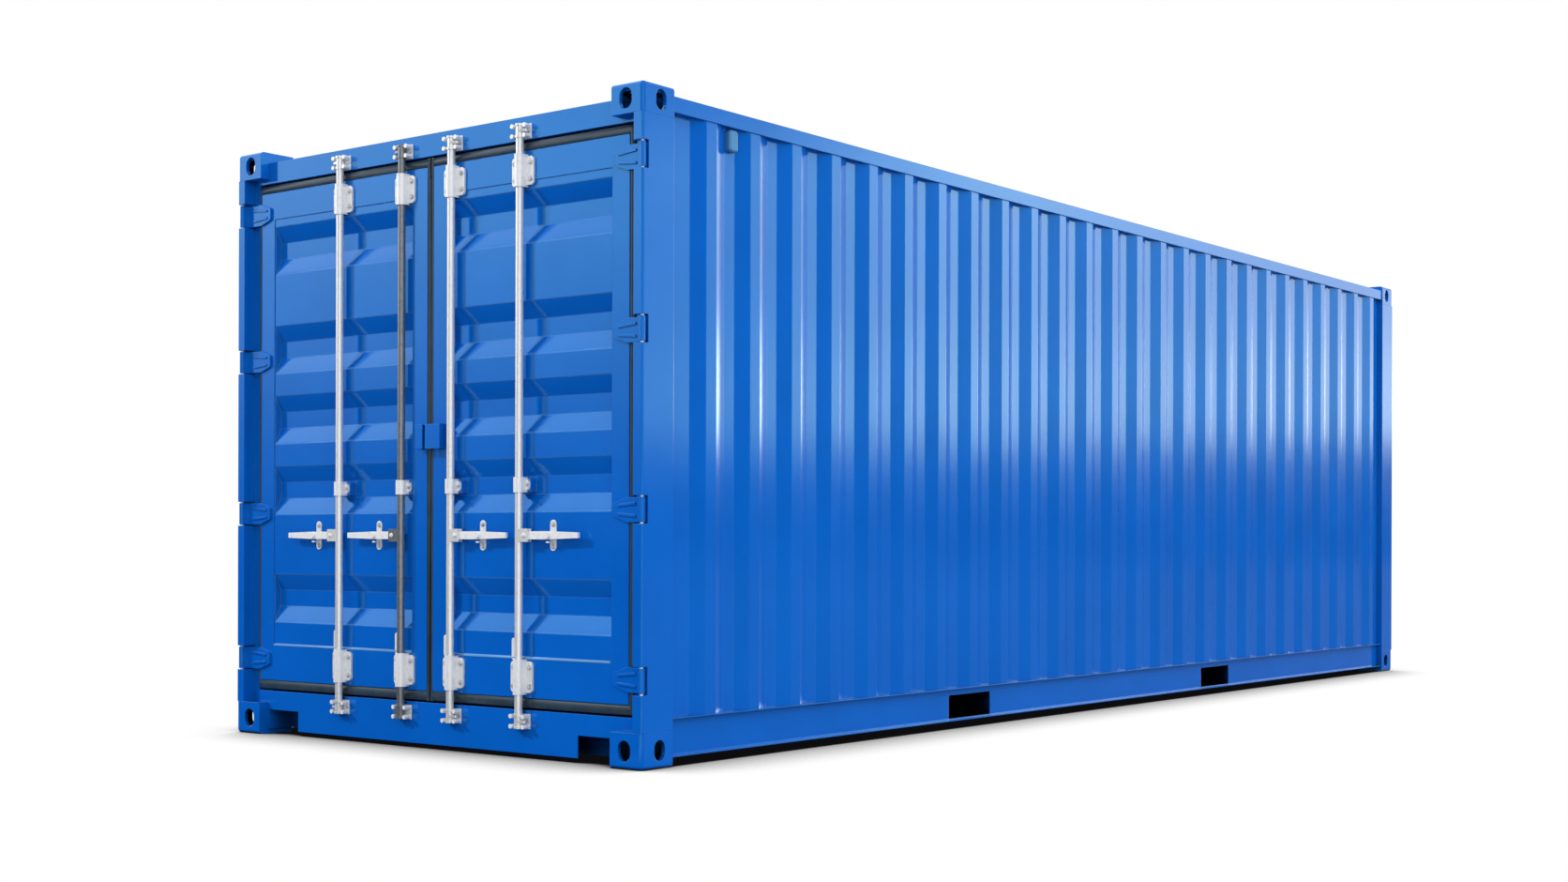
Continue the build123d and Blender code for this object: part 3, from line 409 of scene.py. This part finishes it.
NODE_MATERIALS = {
    "left_wall": PAINT_SHEET, "right_wall": PAINT_SHEET, "rear_wall": PAINT_SHEET, "roof": PAINT_SHEET,
    "left_door_panel": PAINT_SHEET, "right_door_panel": PAINT_SHEET,
    "top_corner_castings": PAINT_SHADED_RECESS, "bottom_corner_castings": PAINT_SHADED_RECESS, "door_sill": PAINT_SHADED_RECESS,
    "left_bottom_rail": PAINT_SHADED_RECESS, "right_bottom_rail": PAINT_SHADED_RECESS, "rear_bottom_rail": PAINT_SHADED_RECESS,
    "fork_pockets": PAINT_SHADED_POCKET, "cross_members": PAINT_SHADED_POCKET, "ventilators": PAINT_VENT,
    "left_inner_lock_rod": ZINC_GREY, "left_outer_lock_rod": ZINC_ROD,
    "right_inner_lock_rod": ZINC_ROD, "right_outer_lock_rod": ZINC_ROD,
}


def dress_nodes():
    """Material of each CAD node, from its own entry or its slot in the record."""
    for part in frame["record"]["subparts"]:
        name = part["node"]
        mesh = frame["nodes"][name].data
        mesh.materials.clear()
        mesh.materials.append(NODE_MATERIALS.get(name, SLOT_MATERIALS[part["material_slot"]]))


# Fasteners


def add_disc(shape, centre, direction, radius, height, sides, chamfer):
    """Short prism with a chamfered rim, standing on a point along a direction."""
    turn = Vector((0, 0, 1)).rotation_difference(direction).to_matrix().to_4x4()
    place = Matrix.Translation(centre) @ turn
    rings = ((0, radius), (height - chamfer, radius), (height, radius - chamfer))
    loops = []
    for level, reach in rings:
        loop = []
        for step in range(sides):
            angle = 2 * math.pi * (step + 0.5) / sides
            corner = Vector((reach * math.cos(angle), reach * math.sin(angle), level))
            loop.append(shape.verts.new(place @ corner))
        loops.append(loop)
    for low, high in zip(loops, loops[1:]):
        for step in range(sides):
            following = (step + 1) % sides
            shape.faces.new((low[step], low[following], high[following], high[step]))
    shape.faces.new(loops[-1])
    shape.faces.new(list(reversed(loops[0])))


def add_bolt(shape, centre, direction, scale=1.0):
    """Hexagon head on a washer."""
    radius = BOLT_RADIUS * scale
    head = centre + direction * WASHER_HEIGHT
    washer_radius = radius * WASHER_OVER_BOLT
    add_disc(shape, centre, direction, washer_radius, WASHER_HEIGHT, ROUND_SIDES, WASHER_CHAMFER)
    add_disc(shape, head, direction, radius, BOLT_HEIGHT * scale, 6, BOLT_CHAMFER * scale)


def add_rivet(shape, centre, direction, radius):
    """Low domed rivet head."""
    for share, height in RIVET_STEPS:
        reach = radius * share
        add_disc(shape, centre, direction, reach, radius * height, ROUND_SIDES, radius * RIVET_CHAMFER)


def piece(name, shape, material, body):
    """Mesh object from a bmesh, riding on a body."""
    mesh = bpy.data.meshes.new(name)
    shape.to_mesh(mesh)
    shape.free()
    made = bpy.data.objects.new(name, mesh)
    bpy.context.scene.collection.objects.link(made)
    mesh.materials.append(material)
    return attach(made, body)


def solid_boxes(node):
    """Boxes of the separate solids in a CAD node."""
    shape = bmesh.new()
    shape.from_mesh(frame["nodes"][node].data)
    bmesh.ops.remove_doubles(shape, verts=shape.verts, dist=1e-5)
    seen = set()
    boxes = []
    for start in shape.verts:
        if start in seen:
            continue
        stack, group = [start], []
        seen.add(start)
        while stack:
            vert = stack.pop()
            group.append(vert.co.copy())
            for edge in vert.link_edges:
                other = edge.other_vert(vert)
                if other not in seen:
                    seen.add(other)
                    stack.append(other)
        low = Vector([min(co[axis] for co in group) for axis in range(3)])
        high = Vector([max(co[axis] for co in group) for axis in range(3)])
        boxes.append((low, high))
    shape.free()
    return boxes


def guide_bolts(shape, low, high):
    """Two bolts on each side of a tall guide, or a small one on each side of a short one."""
    middle = (low + high) / 2
    half_width = (high.y - low.y) / 2
    if high.z - low.z > TALL_GUIDE:
        reach = half_width - BOLT_FROM_EDGE
        inset = GUIDE_END_GAP + BOLT_FROM_END
        levels, scale = (low.z + inset, high.z - inset), 1.0
    else:
        reach = (half_width + HOUSING_RADIUS) / 2
        levels, scale = (middle.z,), SMALL_BOLT
    for level in levels:
        for y in (middle.y - reach, middle.y + reach):
            add_bolt(shape, Vector((GUIDE_FLANGE_FACE, y, level)), OUTWARD, scale)


def door_fasteners(side):
    """Bolts of the guides and catches of one door."""
    shape = bmesh.new()
    for low, high in solid_boxes(f"{side}_rod_guides"):
        guide_bolts(shape, low, high)
    for low, high in solid_boxes(f"{side}_handle_catches"):
        middle = (low.y + high.y) / 2
        for level in (low.z + CATCH_BOLT_FROM_END, high.z - CATCH_BOLT_FROM_END):
            add_bolt(shape, Vector((CATCH_FACE, middle, level)), OUTWARD)
    return piece(f"{side}_door_fasteners", shape, ZINC_BOLTS, f"{side}_door")


def add_oblong(shape, centre, width, height, thickness):
    """Upright plate with round ends, its back on a point."""
    radius = width / 2
    reach = height / 2 - radius
    outline = []
    for end, start in ((reach, 0.0), (-reach, math.pi)):
        for step in range(PLATE_ROUND_STEPS + 1):
            angle = start + math.pi * step / PLATE_ROUND_STEPS
            outline.append((radius * math.cos(angle), end + radius * math.sin(angle)))
    back = [shape.verts.new(centre + Vector((0, y, z))) for y, z in outline]
    front = [shape.verts.new(centre + Vector((-thickness, y, z))) for y, z in outline]
    for step in range(len(outline)):
        following = (step + 1) % len(outline)
        shape.faces.new((back[step], back[following], front[following], front[step]))
    shape.faces.new(front)
    shape.faces.new(list(reversed(back)))
    bmesh.ops.recalc_face_normals(shape, faces=shape.faces)


def guide_plates(side):
    """Oblong plate on the leaf beside each rod, above its lower guide."""
    shape = bmesh.new()
    guides = solid_boxes(f"{side}_rod_guides")
    bottom = min(low.z for low, high in guides)
    for low, high in guides:
        if low.z > bottom + TALL_GUIDE:
            continue
        level = high.z - GUIDE_END_GAP + PLATE_GAP + PLATE_HEIGHT / 2
        place = Vector((PANEL_FACE, (low.y + high.y) / 2 + PLATE_FROM_ROD, level))
        add_oblong(shape, place, PLATE_WIDTH, PLATE_HEIGHT, PLATE_THICKNESS)
    return piece(f"{side}_guide_plates", shape, ZINC_BRIGHT, f"{side}_door")


def keeper_fasteners():
    """Bolts that hold the keepers to the header and the sill."""
    shape = bmesh.new()
    for node in ("upper_cam_keepers", "lower_cam_keepers"):
        for low, high in solid_boxes(node):
            middle = (low.z + high.z) / 2
            for y in (low.y + KEEPER_BOLT_FROM_EDGE, high.y - KEEPER_BOLT_FROM_EDGE):
                add_bolt(shape, Vector((KEEPER_FACE, y, middle)), OUTWARD, SMALL_BOLT)
    return piece("keeper_fasteners", shape, ZINC_BOLTS, "container")


def hub_rivet(side, which):
    """Rivet head on the hub of one handle."""
    shape = bmesh.new()
    rod_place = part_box(f"left_{which}_lock_rod")[0].y + ROD_RADIUS
    low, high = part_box(f"{side}_{which}_handle")
    place = Vector((HUB_FRONT, SIDES[side] * (rod_place + RIVET_FROM_ROD), (low.z + high.z) / 2))
    add_rivet(shape, place, OUTWARD, HUB_RIVET_RADIUS)
    return piece(f"{side}_{which}_hub_rivet", shape, ZINC_BRIGHT, f"{side}_{which}_rod")


# Beads


def ledge_bead(side):
    """Slim rounded edge along the foot of a door's pressed sheet, in a paler blue that paints a highlight
    on it.
    """
    low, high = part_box(f"{side}_door_panel")
    shape = bmesh.new()
    rings = []
    for y in (low.y + LEDGE_INSET, high.y - LEDGE_INSET):
        ring = []
        for step in range(LEDGE_STEPS):
            angle = 2 * math.pi * step / LEDGE_STEPS
            x = PANEL_FACE + LEDGE_RADIUS * math.cos(angle)
            ring.append(shape.verts.new((x, y, low.z + LEDGE_RADIUS * math.sin(angle))))
        rings.append(ring)
        shape.faces.new(ring)
    near, far = rings
    for step in range(LEDGE_STEPS):
        following = (step + 1) % LEDGE_STEPS
        face = shape.faces.new((near[step], near[following], far[following], far[step]))
        face.smooth = True
    bmesh.ops.recalc_face_normals(shape, faces=shape.faces)
    return piece(f"{side}_ledge_bead", shape, PAINT_HIGHLIGHT_EDGE, f"{side}_door")


def add_sleeve(shape, front, across, heights):
    """Moulded half of the joint where the upright bead meets the level one."""
    rings = []
    for level in heights:
        ring = []
        for step in range(BEAD_STEPS + 1):
            angle = math.pi * step / BEAD_STEPS
            share = (1 - math.cos(angle)) / 2
            x = front + SEAL_ROUND - (SEAL_ROUND + BEAD_RISE + SLEEVE_RISE) * math.sin(angle)
            ring.append(shape.verts.new((x, across[0] + (across[1] - across[0]) * share, level)))
        rings.append(ring)
        shape.faces.new(ring)
    low, high = rings
    for step in range(len(low)):
        following = (step + 1) % len(low)
        shape.faces.new((low[step], low[following], high[following], high[step]))


def seal_bead(side):
    """Rounded bead over the seal of one door, swept round the leaf with mitred corners."""
    low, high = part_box(f"{side}_door_seal")
    leaf_low, leaf_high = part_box(f"{side}_door_frame")
    shape = bmesh.new()
    rings = []
    for step in range(BEAD_STEPS + 1):
        angle = math.pi * step / BEAD_STEPS
        share = (1 - math.cos(angle)) / 2
        x = low.x + SEAL_ROUND - (SEAL_ROUND + BEAD_RISE) * math.sin(angle)
        inner, outer = leaf_low.lerp(low, share), leaf_high.lerp(high, share)
        corners = ((inner.y, inner.z), (outer.y, inner.z), (outer.y, outer.z), (inner.y, outer.z))
        rings.append([shape.verts.new((x, y, z)) for y, z in corners])
    for first, second in zip(rings, rings[1:] + rings[:1]):
        for corner in range(4):
            following = (corner + 1) % 4
            face = shape.faces.new((first[corner], first[following], second[following], second[corner]))
            face.smooth = True
    free = (leaf_low.y, low.y) if SIDES[side] > 0 else (leaf_high.y, high.y)
    add_sleeve(shape, low.x, free, (leaf_high.z - SLEEVE_TOP, high.z))
    add_sleeve(shape, low.x, free, (low.z, leaf_low.z + SLEEVE_BOTTOM))
    bmesh.ops.recalc_face_normals(shape, faces=shape.faces)
    return piece(f"{side}_seal_bead", shape, SEAL, f"{side}_door")


# Scene


def make_camera():
    """Camera at the photograph's place, level, with its shift for the low horizon."""
    data = bpy.data.cameras.new("camera")
    data.sensor_width = SENSOR_WIDTH
    data.lens = FOCAL_PIXELS / IMAGE_WIDTH * SENSOR_WIDTH
    data.shift_y = (HORIZON_ROW - IMAGE_HEIGHT / 2) / IMAGE_WIDTH
    data.clip_end = VIEW_REACH
    made = bpy.data.objects.new("camera", data)
    turn = Matrix.Rotation(CAMERA_YAW, 4, "Z") @ Matrix.Rotation(math.radians(90), 4, "X")
    turn = turn @ Matrix.Rotation(CAMERA_ROLL, 4, "Z")
    made.matrix_world = Matrix.Translation(CAMERA_PLACE) @ turn
    bpy.context.scene.collection.objects.link(made)
    bpy.context.scene.camera = made


def make_floor():
    """Pale floor: white to the camera, with a soft contact shadow, and dark where gloss mirrors it."""
    bpy.ops.mesh.primitive_plane_add(size=FLOOR_SIZE)
    made = bpy.context.object
    made.name = "floor_stage"
    material, tree, shader, add = node_tree("floor_stage")
    tree.nodes.remove(shader)
    shade = add("ShaderNodeAmbientOcclusion", {"Distance": SHADOW_REACH}, samples=16)
    tone = ramp_between(add, shade.outputs["AO"], SHADOW, (1.0, 1.0, 1.0), SHADOW_DARK, SHADOW_OPEN)
    seen = add("ShaderNodeEmission", {"Color": tone, "Strength": 1.0}).outputs["Emission"]
    point = add("ShaderNodeNewGeometry").outputs["Position"]
    place = add("ShaderNodeSeparateXYZ", {"Vector": point}).outputs
    front_x = step_between(add, place["X"], FRONT_FLOOR_X + FRONT_EDGE, FRONT_FLOOR_X)
    front_y = step_between(add, place["Y"], FRONT_FLOOR_Y + FRONT_EDGE, FRONT_FLOOR_Y)
    front = calculate(add, "MULTIPLY", front_x, front_y)
    beside_x = step_between(add, place["X"], BESIDE_X, BESIDE_X + FRONT_EDGE)
    beside_y = step_between(add, place["Y"], BESIDE_Y + FRONT_EDGE, BESIDE_Y)
    beside = calculate(add, "MULTIPLY", beside_x, beside_y)
    level = spread(add, front, spread(add, beside, FLOOR_MIRRORED, FLOOR_BESIDE), FRONT_LEVEL)
    mirrored = add("ShaderNodeEmission", {"Color": (1, 1, 1, 1), "Strength": level}).outputs["Emission"]
    plain = add("ShaderNodeBsdfDiffuse", {"Color": (*[FLOOR_BOUNCE] * 3, 1)}).outputs["BSDF"]
    path = add("ShaderNodeLightPath").outputs
    unseen = add("ShaderNodeMixShader", {"Fac": path["Is Glossy Ray"], 1: plain, 2: mirrored})
    choice = {"Fac": path["Is Camera Ray"], 1: unseen.outputs["Shader"], 2: seen}
    both = add("ShaderNodeMixShader", choice).outputs["Shader"]
    tree.links.new(both, tree.nodes["Material Output"].inputs["Surface"])
    made.data.materials.append(material)


def make_world():
    """White to the camera, even light on the object, and for gloss a studio bright above a low horizon."""
    world = bpy.data.worlds.new("studio")
    bpy.context.scene.world = world
    world.use_nodes = True
    world.cycles.sampling_method = "NONE"
    tree = world.node_tree
    tree.nodes.clear()
    add = adder(tree)

    def blend(low, high, factor):
        return add("ShaderNodeMix", {"Factor": factor, 2: low, 3: high}, data_type="FLOAT").outputs[0]

    direction = add("ShaderNodeTexCoord").outputs["Generated"]
    heading = add("ShaderNodeSeparateXYZ", {"Vector": direction}).outputs
    along, across, height = heading["X"], heading["Y"], heading["Z"]
    wall = calculate(add, "MULTIPLY", curve_of(add, along, WALL_TURN), curve_of(add, height, WALL_CLIMB))
    doors = curve_of(add, height, DOOR_CLIMB)
    other_side = step_between(add, across, *DOOR_SIDE)
    glint = calculate(add, "MULTIPLY", curve_of(add, along, GLINT_TURN), curve_of(add, height, GLINT_CLIMB))
    front_x = step_between(add, along, *FRONT_TURN_X)
    front_y = step_between(add, across, *FRONT_TURN_Y)
    front = calculate(add, "MULTIPLY", front_x, front_y)
    sides = calculate(add, "ADD", blend(wall, doors, other_side), glint)
    mirrored = blend(sides, FRONT_LEVEL, front)
    even = calculate(add, "SUBTRACT", AMBIENT, calculate(add, "MULTIPLY", across, AMBIENT_TO_WALL))
    even = calculate(add, "ADD", even, calculate(add, "MULTIPLY", along, AMBIENT_AWAY))
    even = calculate(add, "SUBTRACT", even, calculate(add, "MULTIPLY", height, AMBIENT_ZENITH_LOSS))
    path = add("ShaderNodeLightPath").outputs
    level = blend(blend(even, mirrored, path["Is Glossy Ray"]), 1.0, path["Is Camera Ray"])
    sky = add("ShaderNodeBackground", {"Color": (1, 1, 1, 1), "Strength": level}).outputs["Background"]
    add("ShaderNodeOutputWorld", {"Surface": sky})


def make_lights():
    """Key from the upper left of the doors, without a glare of its own."""
    data = bpy.data.lights.new("key", "SUN")
    data.energy = KEY_ENERGY
    data.angle = KEY_SOFTNESS
    key = bpy.data.objects.new("key", data)
    key.rotation_euler = (-KEY_FROM).to_track_quat("-Z", "Y").to_euler()
    key.visible_glossy = False
    bpy.context.scene.collection.objects.link(key)


dress_nodes()
for side in SIDES:
    door_fasteners(side)
    guide_plates(side)
    seal_bead(side)
    ledge_bead(side)
    for which in RODS:
        hub_rivet(side, which)
keeper_fasteners()
make_camera()
make_floor()
make_world()
make_lights()
bpy.context.scene.view_settings.view_transform = "Standard"
